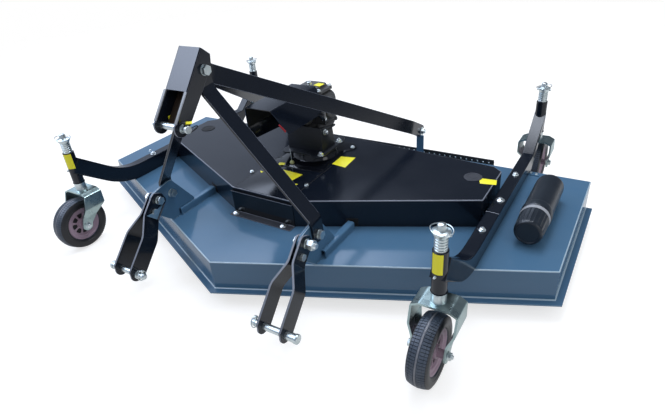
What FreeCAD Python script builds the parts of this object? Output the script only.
"""Rear-mounted finishing mower for a three-point hitch, millimetres.
X is the width, -Y is the front (tractor side), Z is up, the ground is z = 0.
Every piece is one STEP file in parts/."""
import math
import os
import FreeCAD, Part

os.makedirs("parts", exist_ok=True)

# ---- driving dimensions -------------------------------------------------
# deck
DECK_HALF_W = 1116.0      # half width of the deck's top plate
DECK_TOP = 183.0          # height of the deck's top face
DECK_LOW = 57.0           # underside of the outward lip
DECK_NOSE_Y = -644.0      # foremost point of the deck
DECK_SWEEP = 0.425        # rearward run of the front edge for each mm of width
DECK_REAR_Y = 516.0       # rear edge
DECK_T = 5.0              # deck sheet
LIP_W = 27.0              # width of the outward lip
REAR_FLANGE_H = 34.0      # downward flange at the rear edge
FLAP_HALF = DECK_HALF_W - 413.0
FLAP_T, FLAP_LOW, FLAP_RISE = 6.0, 92.0, 22.0
# blades
BLADE_R = 366.0           # tip radius
BLADE_T = 8.0
BLADE_Z = 78.0            # underside of the blades
SPINDLE_X = DECK_HALF_W - DECK_T - BLADE_R - 20.0   # outer spindles, tips 20 mm off the skirt
SPINDLE_REAR_Y = 141.0    # outer spindles
SPINDLE_FRONT_Y = -200.0  # centre spindle
HUB_R, SPIN_R = 52.0, 15.0
# belt cover
COVER_H = 117.0           # height over the deck
COVER_T = 3.0
COVER_HALF_X = SPINDLE_X + 81.0
COVER_MID_X = 150.0       # half width of the straight centre front edge
COVER_FRONT_Y = -313.0
COVER_SWEEP = 0.455
# side beams and caster tubes
BEAM_W, BEAM_H, BEAM_WALL = 50.0, 70.0, 4.0
TUBE_X = COVER_HALF_X + 12.0 + BEAM_W / 2
TUBE_FRONT_Y, TUBE_REAR_Y = -555.5, 717.0
TUBE_R, TUBE_H = 23.5, 145.0
STEM_R = 17.5
# casters
WHEEL_R, WHEEL_W = 116.0, 70.0
RIM_R = WHEEL_R - 42.0
TRAIL = 60.0              # tube axis to wheel axle: ahead in front, behind at the rear
AXLE_R = 8.0
FORK_T = 7.0
FORK_TOP = 2 * WHEEL_R + 30.0                  # upper face of the fork plate
FORK_REACH = WHEEL_W / 2 + 15.0 + FORK_T       # outer face of a fork leg at the axle
FORK_SHOULDER = FORK_REACH + 17.0
TUBE_LOW = FORK_TOP + 33.0
TUBE_TOP = TUBE_LOW + TUBE_H
# lower hitch
BRACKET_X = 358.0         # middle plane of each bracket plate
BRACKET_T = 10.0
FOOT_Y = DECK_NOSE_Y + BRACKET_X * DECK_SWEEP  # deck's front edge at the brackets
PIVOT_Y, PIVOT_Z = FOOT_Y - 43.75, DECK_TOP + 124.4
ARM_LEN = 300.0           # pivot to hitch pin
ARM_DROP = 45.9           # degrees below level, resting on the stop
ARM_W, ARM_T = 58.0, 8.0
CLEVIS_HALF = 45.5        # middle of the clevis to the middle of each plate
PIN_R = 11.0
BOLT_R = 10.0             # pivot bolts
STOP_R = 9.0              # spacer sleeve that meets the stop
STOP_S = 48.0             # pivot to the spacer sleeve
NOSE_R = 34.0             # rounded nose of the bracket round the pivot bolt
# mast
MAST_Y, MAST_Z = -523.7, DECK_TOP + 676.8
MAST_DROP = 50.5          # slope of the top-link bracket, degrees below level
MAST_HALF = 48.0          # half width of the bracket
MAST_T = 8.0
TOP_PIN_U, TOP_PIN_V = 197.5, -15.8
TOP_PIN_R = 9.5
LEG_FOOT_Y, LEG_FOOT_Z = FOOT_Y + 31.35, DECK_TOP + 117.6
LEG_W, LEG_T = 60.0, 10.0
BRACE_W, BRACE_T = 60.0, 8.0
BRACE_X, BRACE_Y, BRACE_Z = 350.0, DECK_REAR_Y - 20.0, DECK_TOP + 125.0
# gearbox, stacked on the cover: guard, stand, box
COVER_TOP = DECK_TOP + COVER_H
STAND_LOW = COVER_TOP + 40.0
GEAR_LOW = STAND_LOW + 100.0
GEAR_HIGH = GEAR_LOW + 150.0
GEAR_Y = 125.0            # middle of the gearbox
GEAR_HALF_X, GEAR_HALF_Y = 80.0, 67.0
SHAFT_Z = GEAR_LOW + 80.0
SHAFT_R = 17.45           # 1 3/8 inch stub shaft
GUARD_R = 118.0           # round pulley guard
GUARD_Y = 105.0
SHIELD_FRONT_Y = -256.0
SHIELD_HALF = 102.0
SHIELD_T = 3.0
SHIELD_LOW, SHIELD_EAVE, SHIELD_TOP = SHAFT_Z + 8.0, SHAFT_Z + 74.0, SHAFT_Z + 114.0
# canister
CAN_X, CAN_R = DECK_HALF_W - 131.0, 55.0
CAN_Y0, CAN_Y1 = -82.0, 305.0
# fits
SEAT = 0.3                # pieces seated on each other
RUN = 0.06                # radial play of a turning fit
WASH = 1.0                # side play beside a wheel hub
ORIGIN_Y = -60.0          # brings the middle of the whole length to y = 0


# ---- helpers ------------------------------------------------------------
def vec(x, y, z):
    return FreeCAD.Vector(x, y, z)


def box(x0, x1, y0, y1, z0, z1):
    return Part.makeBox(x1 - x0, y1 - y0, z1 - z0, vec(x0, y0, z0))


def face(points):
    return Part.Face(Part.makePolygon(points + [points[0]]))


def plan(points, z0, z1):
    """A plan outline of (x, y) points, between two heights."""
    return face([vec(x, y, z0) for x, y in points]).extrude(vec(0, 0, z1 - z0))


def side(points, x0, x1):
    """A side outline of (y, z) points, between two widths."""
    return face([vec(x0, y, z) for y, z in points]).extrude(vec(x1 - x0, 0, 0))


def front(points, y0, y1):
    """A front outline of (x, z) points, between two lengths."""
    return face([vec(x, y0, z) for x, z in points]).extrude(vec(0, y1 - y0, 0))


def rod(r, x, y, z, length, along):
    """A cylinder that starts at a point and runs along x, y or z."""
    way = {"x": vec(1, 0, 0), "y": vec(0, 1, 0), "z": vec(0, 0, 1)}[along]
    return Part.makeCylinder(r, length, vec(x, y, z), way)


def hexagon(across, x, y, z, length):
    """A hexagon head or nut along x."""
    r = across / math.sqrt(3.0)
    pts = [(y + r * math.cos(math.radians(a)), z + r * math.sin(math.radians(a)))
           for a in range(30, 390, 60)]
    return side(pts, x, x + length)


def fuse(shapes):
    return shapes[0].multiFuse(shapes[1:]).removeSplitter()


def mirrored(shape):
    return shape.mirror(vec(0, 0, 0), vec(1, 0, 0))


def both(shape):
    return Part.makeCompound([shape, mirrored(shape)])


def ribbon(points, half):
    """Outline of a bar of even width round a centre line, with mitred bends."""
    left, right = [], []
    count = len(points)
    for i, (a, b) in enumerate(points):
        if i == 0:
            da = db = (points[1][0] - a, points[1][1] - b)
        elif i == count - 1:
            da = db = (a - points[i - 1][0], b - points[i - 1][1])
        else:
            da = (a - points[i - 1][0], b - points[i - 1][1])
            db = (points[i + 1][0] - a, points[i + 1][1] - b)
        la, lb = math.hypot(*da), math.hypot(*db)
        na, nb = (-da[1] / la, da[0] / la), (-db[1] / lb, db[0] / lb)
        mx, my = na[0] + nb[0], na[1] + nb[1]
        scale = 2.0 * half / (mx * mx + my * my)
        left.append((a + mx * scale, b + my * scale))
        right.append((a - mx * scale, b - my * scale))
    return left + right[::-1]


def turn_x(shape, degrees, y, z):
    shape.rotate(vec(0, y, z), vec(1, 0, 0), degrees)
    return shape


def save(name, shape):
    placed = shape.copy()
    placed.translate(vec(0, ORIGIN_Y, 0))
    placed.exportStep("parts/" + name + ".step")


# ---- deck ---------------------------------------------------------------
def deck_outline(grow, rear):
    slant = math.hypot(1.0, DECK_SWEEP)
    nose = DECK_NOSE_Y - grow * slant
    half = DECK_HALF_W + grow
    corner = nose + half * DECK_SWEEP
    return [(0, nose), (half, corner), (half, rear), (-half, rear), (-half, corner)]


deck = plan(deck_outline(0, DECK_REAR_Y), DECK_LOW, DECK_TOP)
deck = deck.cut(plan(deck_outline(-DECK_T, DECK_REAR_Y + 10), DECK_LOW - 1, DECK_TOP - DECK_T))
lip = plan(deck_outline(LIP_W, DECK_REAR_Y - 12), DECK_LOW, DECK_LOW + DECK_T)
lip = lip.cut(plan(deck_outline(-DECK_T, DECK_REAR_Y + 10), DECK_LOW - 1, DECK_LOW + DECK_T + 1))
rear_flange = box(-DECK_HALF_W + DECK_T, DECK_HALF_W - DECK_T, DECK_REAR_Y - DECK_T, DECK_REAR_Y,
                  DECK_TOP - REAR_FLANGE_H, DECK_TOP - DECK_T)
deck = fuse([deck, lip, rear_flange])
save("deck", deck)

# raised ribs behind the hitch brackets, rounded on top
RIB_X, RIB_W, RIB_H = BRACKET_X + 4.0, 30.0, 32.0
RIB_Y0 = FOOT_Y + 52.85
RIB_Y1 = COVER_FRONT_Y + (RIB_X - RIB_W / 2 - COVER_MID_X) * COVER_SWEEP - 2
RIB_T = 4.0
rib_low = DECK_TOP + SEAT
rib_mid = rib_low + RIB_H - RIB_W / 2
rib = fuse([box(RIB_X - RIB_W / 2, RIB_X + RIB_W / 2, RIB_Y0, RIB_Y1, rib_low, rib_mid),
            rod(RIB_W / 2, RIB_X, RIB_Y0, rib_mid, RIB_Y1 - RIB_Y0, "y")])
hollow = fuse([box(RIB_X - RIB_W / 2 + RIB_T, RIB_X + RIB_W / 2 - RIB_T, RIB_Y0 - 1, RIB_Y1 + 1,
                   rib_low - 1, rib_mid),
               rod(RIB_W / 2 - RIB_T, RIB_X, RIB_Y0 - 1, rib_mid, RIB_Y1 - RIB_Y0 + 2, "y")])
rib = rib.cut(hollow)
save("deck_ribs", both(rib))

# rear rubber flap with its clamp bar
flap_y = DECK_REAR_Y + SEAT
save("rear_flap", box(-FLAP_HALF, FLAP_HALF, flap_y, flap_y + FLAP_T, FLAP_LOW, DECK_TOP + FLAP_RISE))
bar_y = flap_y + FLAP_T + SEAT
save("flap_clamp_bar", box(-FLAP_HALF, FLAP_HALF, bar_y, bar_y + 4, DECK_TOP - 26, DECK_TOP + 12))

# posts that carry the rear ends of the braces
POST_T = 8.0
post_x1 = BRACE_X - BRACE_T / 2 - SEAT
post_x0 = post_x1 - POST_T
post_low = DECK_TOP + SEAT
post_y0, post_y1 = BRACE_Y - 24, BRACE_Y + 18
post = fuse([box(post_x0, post_x1, post_y0, post_y1, post_low, BRACE_Z + 6),
             rod(21, post_x0, BRACE_Y - 3, BRACE_Z + 2, POST_T, "x"),
             box(post_x0 - 46, post_x1, post_y0, post_y1, post_low, post_low + POST_T)])
post = post.cut(rod(BOLT_R - 2 + SEAT, post_x0 - 1, BRACE_Y, BRACE_Z, POST_T + 2, "x"))
save("brace_posts", both(post))

# ---- spindles and blades under the deck ---------------------------------
under = DECK_TOP - DECK_T - SEAT
SPINDLES = (("left", -SPINDLE_X, SPINDLE_REAR_Y), ("centre", 0.0, SPINDLE_FRONT_Y),
            ("right", SPINDLE_X, SPINDLE_REAR_Y))
house_low = BLADE_Z + 26.0
housings = []
for name, x, y in SPINDLES:
    body = fuse([rod(92, x, y, under - 12, 12, "z"), rod(HUB_R, x, y, house_low, under - house_low, "z")]
                + [box(x - 4, x + 4, y - 84, y + 84, house_low + 30, under - 6),
                   box(x - 84, x + 84, y - 4, y + 4, house_low + 30, under - 6)])
    housings.append(body.cut(rod(SPIN_R + RUN, x, y, house_low - 1, under - house_low - 9, "z")))
    wing_z = BLADE_Z + BLADE_T
    blade = box(x - BLADE_R, x + BLADE_R, y - 35, y + 35, BLADE_Z, wing_z)
    blade = blade.common(rod(BLADE_R, x, y, BLADE_Z, BLADE_T, "z"))
    wings = []
    for s in (-1, 1):
        wing = front([(x + s * (BLADE_R - 156), wing_z - 4), (x + s * (BLADE_R - 31), wing_z - 4),
                      (x + s * (BLADE_R - 41), wing_z + 26), (x + s * (BLADE_R - 131), wing_z + 26)], 0, 5)
        wing.translate(vec(0, y + s * 30 - 2.5, 0))
        wings.append(wing)
    rotor = fuse([blade, rod(SPIN_R, x, y, BLADE_Z, under - BLADE_Z - 16, "z"),
                  rod(46, x, y, BLADE_Z, 18, "z"), rod(20, x, y, BLADE_Z - 12, 12, "z")] + wings)
    save("blade_" + name, rotor)
save("spindle_housings", Part.makeCompound(housings))


# ---- belt cover ---------------------------------------------------------
def cover_outline(shrink):
    f = COVER_FRONT_Y + shrink
    e = COVER_HALF_X - shrink
    corner = f + (e - COVER_MID_X) * COVER_SWEEP
    return [(-COVER_MID_X, f), (COVER_MID_X, f), (e, corner), (e, 236 - shrink), (e - 40, 271 - shrink),
            (0, 328 - shrink), (-e + 40, 271 - shrink), (-e, 236 - shrink), (-e, corner)]


cover = plan(cover_outline(0), DECK_TOP + SEAT, COVER_TOP)
cover = cover.cut(plan(cover_outline(COVER_T), DECK_TOP - 1, COVER_TOP - COVER_T))
save("belt_cover", cover)

panel_y = COVER_FRONT_Y - SEAT
panel = fuse([box(-COVER_MID_X - 5, COVER_MID_X + 5, panel_y - 3, panel_y, DECK_TOP + SEAT, COVER_TOP - 14),
              box(-COVER_MID_X - 5, COVER_MID_X + 5, panel_y - 38, panel_y, DECK_TOP + SEAT,
                  DECK_TOP + SEAT + 3),
              box(-COVER_MID_X - 5, COVER_MID_X + 5, panel_y - 9, panel_y, COVER_TOP - 17, COVER_TOP - 14)])
save("front_panel", panel)

# ---- gearbox with its guard, stand, shield and shaft --------------------
guard_low = COVER_TOP + SEAT
guard_base = plan([(-150, -38), (-110, -62), (110, -62), (150, -38), (160, 236), (118, 262),
                   (-118, 262), (-160, 236)], guard_low, guard_low + 4)
guard = fuse([guard_base, Part.makeCone(GUARD_R + 12, GUARD_R, STAND_LOW - guard_low,
                                        vec(0, GUARD_Y, guard_low), vec(0, 0, 1))])
guard = guard.cut(rod(GUARD_R - 6, 0, GUARD_Y, guard_low - 1, STAND_LOW - guard_low - 3, "z"))
save("pulley_guard", guard)

stand_low = STAND_LOW + SEAT
STAND_X = 88.0
stand_y0, stand_y1 = GEAR_Y - 96, GEAR_Y + 93
base = plan([(-STAND_X, stand_y0 + 24), (-STAND_X + 30, stand_y0 - 6), (STAND_X - 30, stand_y0 - 6),
             (STAND_X, stand_y0 + 24), (STAND_X, stand_y1), (-STAND_X, stand_y1)],
            stand_low, stand_low + 8)
cheek = side([(stand_y0 + 24, stand_low), (GEAR_Y + 44, stand_low), (GEAR_Y + 20, GEAR_LOW - 8),
              (stand_y0 + 28, GEAR_LOW - 8)], STAND_X - 8, STAND_X)
top_plate = box(-STAND_X, STAND_X, stand_y0 + 28, GEAR_Y + 20, GEAR_LOW - 8, GEAR_LOW)
apron = box(-STAND_X + 8, STAND_X - 8, stand_y0 + 30, stand_y0 + 36, stand_low + 8, GEAR_LOW - 8)
stand = fuse([base, cheek, mirrored(cheek), top_plate, apron])
save("gearbox_stand", stand)

gear_low = GEAR_LOW + SEAT
gx = GEAR_HALF_X
gear_y0, gear_y1 = GEAR_Y - GEAR_HALF_Y, GEAR_Y + GEAR_HALF_Y
profile = [(-gx + 26, gear_low), (gx - 26, gear_low), (gx, gear_low + 30), (gx, GEAR_HIGH - 24),
           (gx - 24, GEAR_HIGH), (-gx + 24, GEAR_HIGH), (-gx, GEAR_HIGH - 24), (-gx, gear_low + 30)]
boss_y = gear_y0 - 42
SEAL_R = 56.0
JOURNAL_R, JOURNAL_L = 22.0, 34.0   # the shaft inside the housing
NECK_R, NECK_L = 16.0, 4.0          # relief between the journal and the stub
STUB_L = 84.0
round_off = side([(gear_y0, gear_low), (gear_y1 - 42, gear_low), (gear_y1 - 16, gear_low + 8),
                  (gear_y1, gear_low + 26), (gear_y1, GEAR_HIGH - 14), (gear_y1 - 14, GEAR_HIGH),
                  (gear_y0, GEAR_HIGH)], -gx, gx)
housing = fuse([front(profile, gear_y0, gear_y1).common(round_off),
                rod(SEAL_R, 0, boss_y, SHAFT_Z, gear_y0 - boss_y + 1, "y"),
                rod(48, 0, gear_y1 - 1, SHAFT_Z, 14, "y"),
                rod(46, -gx - 6, GEAR_Y + 6, SHAFT_Z, 2 * gx + 12, "x")])
housing = housing.cut(rod(JOURNAL_R + RUN, 0, boss_y - 1, SHAFT_Z, JOURNAL_L + 2, "y"))
save("gearbox", housing)

lid_low = GEAR_HIGH + SEAT
lid = [box(-gx + 12, gx - 12, gear_y0 + 10, gear_y1 - 12, lid_low, lid_low + 14),
       box(-gx + 26, gx - 26, gear_y0 + 24, gear_y1 - 26, lid_low + 14, lid_low + 30)]
for i in range(4):
    rib_at = gear_y0 + 20 + i * (2 * GEAR_HALF_Y - 48) / 3.0
    lid.append(box(-gx + 18, gx - 18, rib_at, rib_at + 6, lid_low + 14, lid_low + 24))
save("gearbox_lid", fuse(lid))


def tunnel(shrink):
    """Front outline of the shield, open below."""
    w, h, k = SHIELD_HALF - shrink, SHIELD_TOP - shrink, shrink * 0.4
    eave, top_half = SHIELD_EAVE - k, SHIELD_HALF - 40 - k
    return [(-w, SHIELD_LOW), (-w, eave), (-top_half, h), (top_half, h), (w, eave), (w, SHIELD_LOW)]


shield_y1 = gear_y0 - SEAT
shield = front(tunnel(0), SHIELD_FRONT_Y, shield_y1)
shield = shield.cut(front([(x, z - 1 if z == SHIELD_LOW else z) for x, z in tunnel(SHIELD_T)],
                          SHIELD_FRONT_Y - 1, shield_y1 + 1))
rake = side([(SHIELD_FRONT_Y - 1, SHIELD_LOW - 1), (SHIELD_FRONT_Y + 45, SHIELD_LOW - 1),
             (SHIELD_FRONT_Y, SHIELD_EAVE), (SHIELD_FRONT_Y - 1, SHIELD_EAVE)],
            -SHIELD_HALF - 1, SHIELD_HALF + 1)
back = front([(x, SHAFT_Z - 50 if z == SHIELD_LOW else z) for x, z in tunnel(0)],
             shield_y1 - SHIELD_T, shield_y1)
back = back.cut(rod(SEAL_R + SEAT, 0, shield_y1 - 10, SHAFT_Z, 20, "y"))
shield = fuse([shield.cut(rake), back])
save("pto_shield", shield)

stub_y = boss_y - NECK_L - STUB_L
shaft = fuse([rod(SHAFT_R, 0, stub_y, SHAFT_Z, STUB_L, "y"),
              rod(NECK_R, 0, stub_y + STUB_L, SHAFT_Z, NECK_L + 1, "y"),
              rod(JOURNAL_R, 0, boss_y + 1, SHAFT_Z, JOURNAL_L - 1, "y")])
save("pto_shaft", shaft)


# ---- side beams with the caster tubes -----------------------------------
BEAM_SLOPE = math.radians(37.0)
BEAM_BEND_R = 300.0
REAR_FOLD_Y = DECK_REAR_Y + 12.0   # fold of the underside, behind the deck


def beam_centre():
    """Centre line of the front half: level on the deck, then a smooth bend up to the tube."""
    z0 = DECK_TOP + SEAT + BEAM_H / 2
    rise = TUBE_LOW + 85.0 - z0
    corner = TUBE_FRONT_Y + rise / math.tan(BEAM_SLOPE)
    start = corner + BEAM_BEND_R * math.tan(BEAM_SLOPE / 2)
    pts = [(400.0, z0)]
    steps = 10
    for i in range(steps + 1):
        a = BEAM_SLOPE * i / steps
        pts.append((start - BEAM_BEND_R * math.sin(a), z0 + BEAM_BEND_R * (1 - math.cos(a))))
    pts.append((TUBE_FRONT_Y, z0 + rise))
    return pts


def beam_shape(wall):
    half = BEAM_H / 2 - wall
    low = DECK_TOP + SEAT + wall
    high = DECK_TOP + BEAM_H + SEAT - wall
    stop = wall * 7.0
    pts = beam_centre()
    end_y = TUBE_FRONT_Y + stop
    pts[-1] = (end_y, pts[-1][1] - stop * math.tan(BEAM_SLOPE))
    front_part = side(ribbon(pts, half), -BEAM_W / 2 + wall, BEAM_W / 2 - wall)
    rear_end = TUBE_REAR_Y - stop
    fold = REAR_FOLD_Y + wall * 0.4
    rear = [(399.0, low), (fold, low), (rear_end, TUBE_LOW + 50.0 + wall * 1.3 - stop * 0.86),
            (rear_end, TUBE_LOW + 95.0 - wall * 1.3 - stop * 0.8), (fold + 17.0, high), (399.0, high)]
    return fuse([front_part, side(rear, -BEAM_W / 2 + wall, BEAM_W / 2 - wall)])


beam = beam_shape(0).cut(beam_shape(BEAM_WALL))
tubes = [rod(TUBE_R, 0, y, TUBE_LOW, TUBE_TOP - TUBE_LOW, "z") for y in (TUBE_FRONT_Y, TUBE_REAR_Y)]
beam = fuse([beam] + tubes)
for y in (TUBE_FRONT_Y, TUBE_REAR_Y):
    beam = beam.cut(rod(STEM_R + RUN, 0, y, TUBE_LOW - 60, TUBE_TOP - TUBE_LOW + 120, "z"))
for name, s in (("left", -1), ("right", 1)):
    piece = beam.copy()
    piece.translate(vec(s * TUBE_X, 0, 0))
    save("side_beam_" + name, piece)


# ---- caster forks and wheels --------------------------------------------
# each is built round the tube axis at x = 0, y = 0 with its wheel ahead


def fork():
    """Bent-plate fork with its collar, stem, spacer rings and axle bolt."""
    top, t = FORK_TOP, FORK_T
    reach, shoulder = FORK_REACH - t / 2, FORK_SHOULDER - t / 2
    line = [(-reach, WHEEL_R - 26), (-reach, WHEEL_R + 41), (-shoulder, WHEEL_R + 74),
            (-shoulder, top - 16), (-FORK_SHOULDER + 16, top - t / 2)]
    line = line + [(-x, z) for x, z in line[::-1]]
    plate = front(ribbon(line, t / 2), -TRAIL - 40, 40)
    leg = fuse([side([(-TRAIL - 6, top + 1), (27, top + 1), (27, top - 90), (-TRAIL + 24, WHEEL_R),
                      (-TRAIL - 24, WHEEL_R), (-TRAIL - 10, top - 72)], -90, 90),
                rod(24, -90, -TRAIL, WHEEL_R, 180, "x")])
    plate = plate.common(leg)
    collar_top = TUBE_LOW - SEAT
    ring_z = TUBE_TOP + SEAT
    parts = [plate, rod(TUBE_R, 0, 0, top - 1, collar_top - top + 1, "z"),
             rod(STEM_R, 0, 0, top - 1, ring_z + 70 - top, "z")]
    for i in range(4):
        parts.append(rod(STEM_R + 5, 0, 0, ring_z + i * 11.0, 9.0, "z"))
    parts.append(rod(STEM_R + 3, 0, 0, ring_z, 48.0, "z"))
    parts.append(rod(STEM_R + 8.5, 0, 0, ring_z + 48.0, 16.0, "z"))
    parts.append(rod(13.0, 0, 0, ring_z + 64.0, 22.0, "z"))
    bolt = [rod(AXLE_R, -FORK_REACH - 13, -TRAIL, WHEEL_R, 2 * FORK_REACH + 23, "x"),
            hexagon(24, FORK_REACH - 1, -TRAIL, WHEEL_R, 11),
            hexagon(24, -FORK_REACH - 9, -TRAIL, WHEEL_R, 10)]
    return fuse(parts + bolt)


def tyre():
    """Solid tyre with a rounded crown, turned about the axle."""
    h, r, b = WHEEL_W / 2, WHEEL_R, RIM_R
    outline = [(-h + 9, b), (-h + 3, b + 7), (-h, b + 18), (-h + 2, r - 14), (-h + 10, r - 5),
               (-h + 20, r - 1.2), (0, r), (h - 20, r - 1.2), (h - 10, r - 5), (h - 2, r - 14),
               (h, b + 18), (h - 3, b + 7), (h - 9, b)]
    ring = face([vec(x, -TRAIL, WHEEL_R + z) for x, z in outline])
    return ring.revolve(vec(0, -TRAIL, WHEEL_R), vec(1, 0, 0), 360)


def rim():
    """Plastic rim with eight windows and a long hub."""
    outer, wall = RIM_R - SEAT, 7.0
    half = WHEEL_W / 2 - 8
    hub = FORK_REACH - FORK_T - WASH

    def drum(r, reach):
        return rod(r, -reach, -TRAIL, WHEEL_R, 2 * reach, "x")

    band = drum(outer, half).cut(drum(outer - wall, half + 1))
    wheel = fuse([band, drum(outer - wall + 1, 8), drum(20, hub)])
    for i in range(8):
        a = math.radians(45.0 * i + 22.5)
        reach = RIM_R - 30
        wheel = wheel.cut(rod(11, -9, reach * math.cos(a) - TRAIL, reach * math.sin(a) + WHEEL_R, 18, "x"))
    return wheel.cut(drum(AXLE_R + RUN, hub + 1))


for kind, made in (("caster_fork", fork()), ("caster_tyre", tyre()), ("caster_rim", rim())):
    for end, y, turn in (("front", TUBE_FRONT_Y, 0), ("rear", TUBE_REAR_Y, 180)):
        for name, s in (("left", -1), ("right", 1)):
            piece = made.copy()
            piece.rotate(vec(0, 0, 0), vec(0, 0, 1), turn)
            piece.translate(vec(s * TUBE_X, y, 0))
            save("%s_%s_%s" % (kind, end, name), piece)


# ---- lower hitch --------------------------------------------------------
drop = math.radians(ARM_DROP)


def arm_point(s, off=0.0):
    """World (y, z) of a point s along the arm and off towards the rear of it."""
    return (PIVOT_Y - s * math.cos(drop) + off * math.sin(drop),
            PIVOT_Z - s * math.sin(drop) - off * math.cos(drop))


stop_off = STOP_R + SEAT
bracket_low = DECK_TOP + SEAT
rib_top = rib_low + RIB_H + SEAT
outline = [(FOOT_Y + 6, bracket_low), arm_point(STOP_S + 10, stop_off), arm_point(18, stop_off),
           (PIVOT_Y, PIVOT_Z), (PIVOT_Y - 6, PIVOT_Z + NOSE_R - 1), (PIVOT_Y + 72, PIVOT_Z + 49),
           (PIVOT_Y + 90, PIVOT_Z + 46), (PIVOT_Y + 184, rib_top + 9), (PIVOT_Y + 184, rib_top),
           (RIB_Y0 - 5, rib_top), (RIB_Y0 - 5, bracket_low)]
bx0, bx1 = BRACKET_X - BRACKET_T / 2, BRACKET_X + BRACKET_T / 2
bracket = fuse([side(outline, bx0, bx1), rod(NOSE_R, bx0, PIVOT_Y, PIVOT_Z, BRACKET_T, "x")])
bracket = bracket.cut(rod(BOLT_R + SEAT, bx0 - 1, PIVOT_Y, PIVOT_Z, BRACKET_T + 2, "x"))
bracket = bracket.cut(rod(BOLT_R + SEAT, bx0 - 1, LEG_FOOT_Y, LEG_FOOT_Z, BRACKET_T + 2, "x"))
save("hitch_brackets", both(bracket))


def arm_plate(sign):
    """One Z-bent plate, built level along -Y and then dropped to its rest."""
    near = BRACKET_X + sign * (BRACKET_T / 2 + SEAT + ARM_T / 2)
    far = BRACKET_X + sign * CLEVIS_HALF
    line = [(near, PIVOT_Y + 40), (near, PIVOT_Y - 76), (far, PIVOT_Y - 158), (far, PIVOT_Y - ARM_LEN - 40)]
    bar = plan(ribbon(line, ARM_T / 2), PIVOT_Z - ARM_W / 2, PIVOT_Z + ARM_W / 2)
    x0, reach = BRACKET_X - 90, 180
    shape = fuse([box(x0, x0 + reach, PIVOT_Y - ARM_LEN, PIVOT_Y, PIVOT_Z - ARM_W / 2, PIVOT_Z + ARM_W / 2),
                  rod(ARM_W / 2, x0, PIVOT_Y, PIVOT_Z, reach, "x"),
                  rod(ARM_W / 2, x0, PIVOT_Y - ARM_LEN, PIVOT_Z, reach, "x")])
    bar = bar.common(shape)
    bar = bar.cut(rod(BOLT_R + RUN, x0, PIVOT_Y, PIVOT_Z, reach, "x"))
    return bar.cut(rod(PIN_R + RUN, x0, PIVOT_Y - ARM_LEN, PIVOT_Z, reach, "x"))


inner_x = BRACKET_X - BRACKET_T / 2 - SEAT - ARM_T
outer_x = BRACKET_X + BRACKET_T / 2 + SEAT + ARM_T
sleeve_y = PIVOT_Y - STOP_S
SPACER_BOLT_R = 6.0
spacer_nut = inner_x - SEAT - 11
inner_plate = arm_plate(-1).cut(rod(SPACER_BOLT_R + SEAT, spacer_nut, sleeve_y, PIVOT_Z, 40, "x"))
outer_plate = fuse([arm_plate(1), hexagon(24, outer_x - 1, sleeve_y, PIVOT_Z, 11),
                    rod(STOP_R, inner_x + ARM_T + SEAT, sleeve_y, PIVOT_Z, BRACKET_T + SEAT + 1, "x"),
                    rod(SPACER_BOLT_R, spacer_nut, sleeve_y, PIVOT_Z, outer_x - spacer_nut, "x"),
                    hexagon(24, spacer_nut, sleeve_y, PIVOT_Z, 11)])
arm = turn_x(Part.makeCompound([inner_plate, outer_plate]), ARM_DROP, PIVOT_Y, PIVOT_Z)
save("lower_arm_right", arm)
save("lower_arm_left", mirrored(arm))

pin_y, pin_z = arm_point(ARM_LEN)
PIN_IN, PIN_OUT = 92.5, 96.5
clevis_in = BRACKET_X - CLEVIS_HALF - ARM_T / 2
clevis_out = BRACKET_X + CLEVIS_HALF + ARM_T / 2
pin = fuse([rod(PIN_R, BRACKET_X - PIN_IN, pin_y, pin_z, PIN_IN + PIN_OUT, "x"),
            rod(15, clevis_out + SEAT, pin_y, pin_z, 7, "x"),
            rod(14, BRACKET_X + PIN_OUT - 8, pin_y, pin_z, 8, "x"),
            rod(15, clevis_in - SEAT - 4, pin_y, pin_z, 4, "x")])
save("lower_pin_right", pin)
save("lower_pin_left", mirrored(pin))

# ---- mast: top-link bracket, legs and braces ----------------------------
slope = math.radians(MAST_DROP)


def mast_point(u, v):
    """World (y, z) of a point u down the bracket and v towards the rear of it."""
    return (MAST_Y - u * math.cos(slope) + v * math.sin(slope),
            MAST_Z - u * math.sin(slope) - v * math.cos(slope))


def mast_side(points, x0, x1):
    return side([mast_point(u, v) for u, v in points], x0, x1)


WEB_V, TOP_U, WEB_U, EAR_R, REAR_V = -40.0, -55.0, 89.0, 28.0, 20.0
ear = mast_side([(TOP_U, WEB_V), (WEB_U, WEB_V), (TOP_PIN_U, TOP_PIN_V - EAR_R),
                 (TOP_PIN_U, TOP_PIN_V + EAR_R), (60, REAR_V), (TOP_U + 26, REAR_V),
                 (TOP_U, REAR_V - 16)], MAST_HALF - MAST_T, MAST_HALF)
ear_end = rod(EAR_R, MAST_HALF - MAST_T, *mast_point(TOP_PIN_U, TOP_PIN_V), MAST_T, "x")
ear = fuse([ear, ear_end])
web = mast_side([(TOP_U, WEB_V), (WEB_U, WEB_V), (WEB_U, WEB_V + MAST_T), (TOP_U, WEB_V + MAST_T)],
                -MAST_HALF, MAST_HALF)
bracket = fuse([ear, mirrored(ear), web])
bracket = bracket.cut(rod(BOLT_R + RUN, -60, MAST_Y, MAST_Z, 120, "x"))
top_y, top_z = mast_point(TOP_PIN_U, TOP_PIN_V)
bracket = bracket.cut(rod(TOP_PIN_R + RUN, -60, top_y, top_z, 120, "x"))
save("top_link_bracket", bracket)

pin = fuse([rod(TOP_PIN_R, -76, top_y, top_z, 153, "x"), rod(14, MAST_HALF + SEAT, top_y, top_z, 5, "x"),
            rod(12.5, 69, top_y, top_z, 8, "x"), rod(13, -MAST_HALF - SEAT - 4, top_y, top_z, 4, "x")])
save("top_link_pin", pin)

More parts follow.
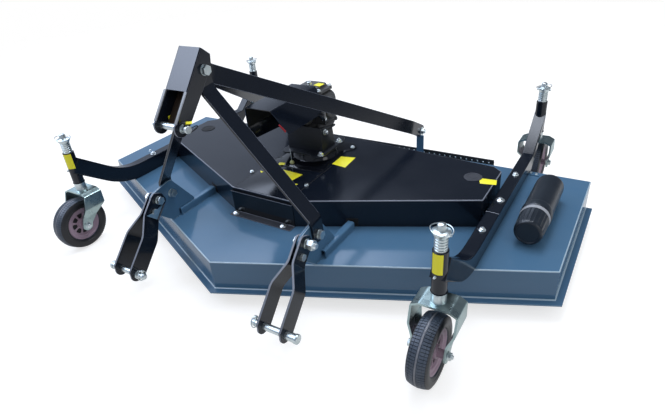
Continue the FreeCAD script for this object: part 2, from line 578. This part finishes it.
leg_run = math.hypot(LEG_FOOT_Y - MAST_Y, MAST_Z - LEG_FOOT_Z)
leg_lean = math.degrees(math.atan2(LEG_FOOT_Y - MAST_Y, MAST_Z - LEG_FOOT_Z))
leg_top_x = MAST_HALF - MAST_T - SEAT - LEG_T / 2
leg_foot_x = BRACKET_X + BRACKET_T / 2 + SEAT + LEG_T / 2


def leg_shape():
    """A bent flat bar, built upright in front view, rounded at both bolts, then leaned."""
    low = MAST_Z - leg_run
    line = [(leg_top_x, MAST_Z + 40), (leg_top_x, MAST_Z - 66),
            (leg_foot_x, low + 58), (leg_foot_x, low - 40)]
    bar = front(ribbon(line, LEG_T / 2), MAST_Y - LEG_W / 2, MAST_Y + LEG_W / 2)
    outline = fuse([box(0, 500, MAST_Y - LEG_W / 2, MAST_Y + LEG_W / 2, low, MAST_Z),
                    rod(LEG_W / 2, 0, MAST_Y, MAST_Z, 500, "x"), rod(LEG_W / 2, 0, MAST_Y, low, 500, "x")])
    bar = bar.common(outline)
    for z in (MAST_Z, low):
        bar = bar.cut(rod(BOLT_R + SEAT, 0, MAST_Y, z, 500, "x"))
    return turn_x(bar, leg_lean, MAST_Y, MAST_Z)


leg = leg_shape()
save("frame_leg_right", leg)
save("frame_leg_left", mirrored(leg))

brace_run = math.hypot(BRACE_Y - MAST_Y, MAST_Z - BRACE_Z)
brace_drop = math.degrees(math.atan2(MAST_Z - BRACE_Z, BRACE_Y - MAST_Y))
brace_top_x = leg_top_x - LEG_T / 2 - SEAT - BRACE_T / 2


def brace_shape():
    """A bent flat bar, built level in plan, rounded at both bolts, then dropped to the rear."""
    end = MAST_Y + brace_run
    line = [(brace_top_x, MAST_Y - 40), (brace_top_x, MAST_Y + 62),
            (BRACE_X, end - 120), (BRACE_X, end + 40)]
    bar = plan(ribbon(line, BRACE_T / 2), MAST_Z - BRACE_W / 2, MAST_Z + BRACE_W / 2)
    outline = fuse([box(0, 500, MAST_Y, end, MAST_Z - BRACE_W / 2, MAST_Z + BRACE_W / 2),
                    rod(BRACE_W / 2, 0, MAST_Y, MAST_Z, 500, "x"),
                    rod(BRACE_W / 2, 0, end, MAST_Z, 500, "x")])
    bar = bar.common(outline)
    bar = bar.cut(rod(BOLT_R + SEAT, 0, MAST_Y, MAST_Z, 500, "x"))
    bar = bar.cut(rod(BOLT_R - 2 + SEAT, 0, end, MAST_Z, 500, "x"))
    return turn_x(bar, -brace_drop, MAST_Y, MAST_Z)


brace = brace_shape()
save("brace_right", brace)
save("brace_left", mirrored(brace))

# pivot bolts, leg bolts, brace bolts and the mast bolt with its inner sleeve
HEAD = 30.0
bolts = []
for y, z in ((PIVOT_Y, PIVOT_Z), (LEG_FOOT_Y, LEG_FOOT_Z)):
    inner = inner_x - SEAT if y == PIVOT_Y else bx0 - SEAT
    outer = outer_x + SEAT if y == PIVOT_Y else leg_foot_x + LEG_T / 2 + SEAT
    bolts.append(fuse([rod(BOLT_R, inner - 18, y, z, outer - inner + 32, "x"),
                       rod(18, outer, y, z, 3, "x"), hexagon(HEAD, outer + 3, y, z, 12),
                       rod(18, inner - 3, y, z, 3, "x"), hexagon(HEAD, inner - 17, y, z, 14)]))
brace_out = BRACE_X + BRACE_T / 2 + SEAT
post_in = post_x0 - SEAT
bolts.append(fuse([rod(BOLT_R - 2, post_in - 14, BRACE_Y, BRACE_Z, brace_out - post_in + 26, "x"),
                   rod(15, brace_out, BRACE_Y, BRACE_Z, 3, "x"),
                   hexagon(24, brace_out + 3, BRACE_Y, BRACE_Z, 10),
                   hexagon(24, post_in - 12, BRACE_Y, BRACE_Z, 12)]))
mast_out = MAST_HALF + SEAT
sleeve = brace_top_x - BRACE_T / 2 - SEAT
mast_bolt = fuse([rod(BOLT_R, -mast_out - 18, MAST_Y, MAST_Z, 2 * mast_out + 32, "x"),
                  rod(18, mast_out, MAST_Y, MAST_Z, 3, "x"), hexagon(HEAD, mast_out + 3, MAST_Y, MAST_Z, 12),
                  rod(18, -mast_out - 3, MAST_Y, MAST_Z, 3, "x"),
                  hexagon(HEAD, -mast_out - 17, MAST_Y, MAST_Z, 14),
                  rod(16, -sleeve, MAST_Y, MAST_Z, 2 * sleeve, "x")])
save("hitch_bolts", Part.makeCompound(bolts + [mirrored(b) for b in bolts] + [mast_bolt]))

# ---- document canister on the right of the deck -------------------------
can_z = DECK_TOP + CAN_R + 6.0
can_body = rod(CAN_R, CAN_X, CAN_Y0 + 100, can_z, CAN_Y1 - CAN_Y0 - 116, "y")
can_end = Part.makeCone(CAN_R, CAN_R - 14, 16, vec(CAN_X, CAN_Y1 - 16, can_z), vec(0, 1, 0))
can_cap = Part.makeCone(CAN_R - 5, CAN_R + 1, 88, vec(CAN_X, CAN_Y0 + 6, can_z), vec(0, 1, 0))
can_nose = Part.makeCone(CAN_R - 11, CAN_R - 5, 6, vec(CAN_X, CAN_Y0, can_z), vec(0, 1, 0))
can_band = rod(CAN_R - 3, CAN_X, CAN_Y0 + 93, can_z, 8, "y")
save("canister", fuse([can_body, can_end, can_cap, can_nose, can_band]))

clips = []
for y in (CAN_Y0 + 150, CAN_Y1 - 70):
    saddle = box(CAN_X - 36, CAN_X + 36, y, y + 26, DECK_TOP + SEAT, can_z - 24)
    clips.append(saddle.cut(rod(CAN_R + SEAT, CAN_X, y - 1, can_z, 28, "y")))
save("canister_saddles", Part.makeCompound(clips))
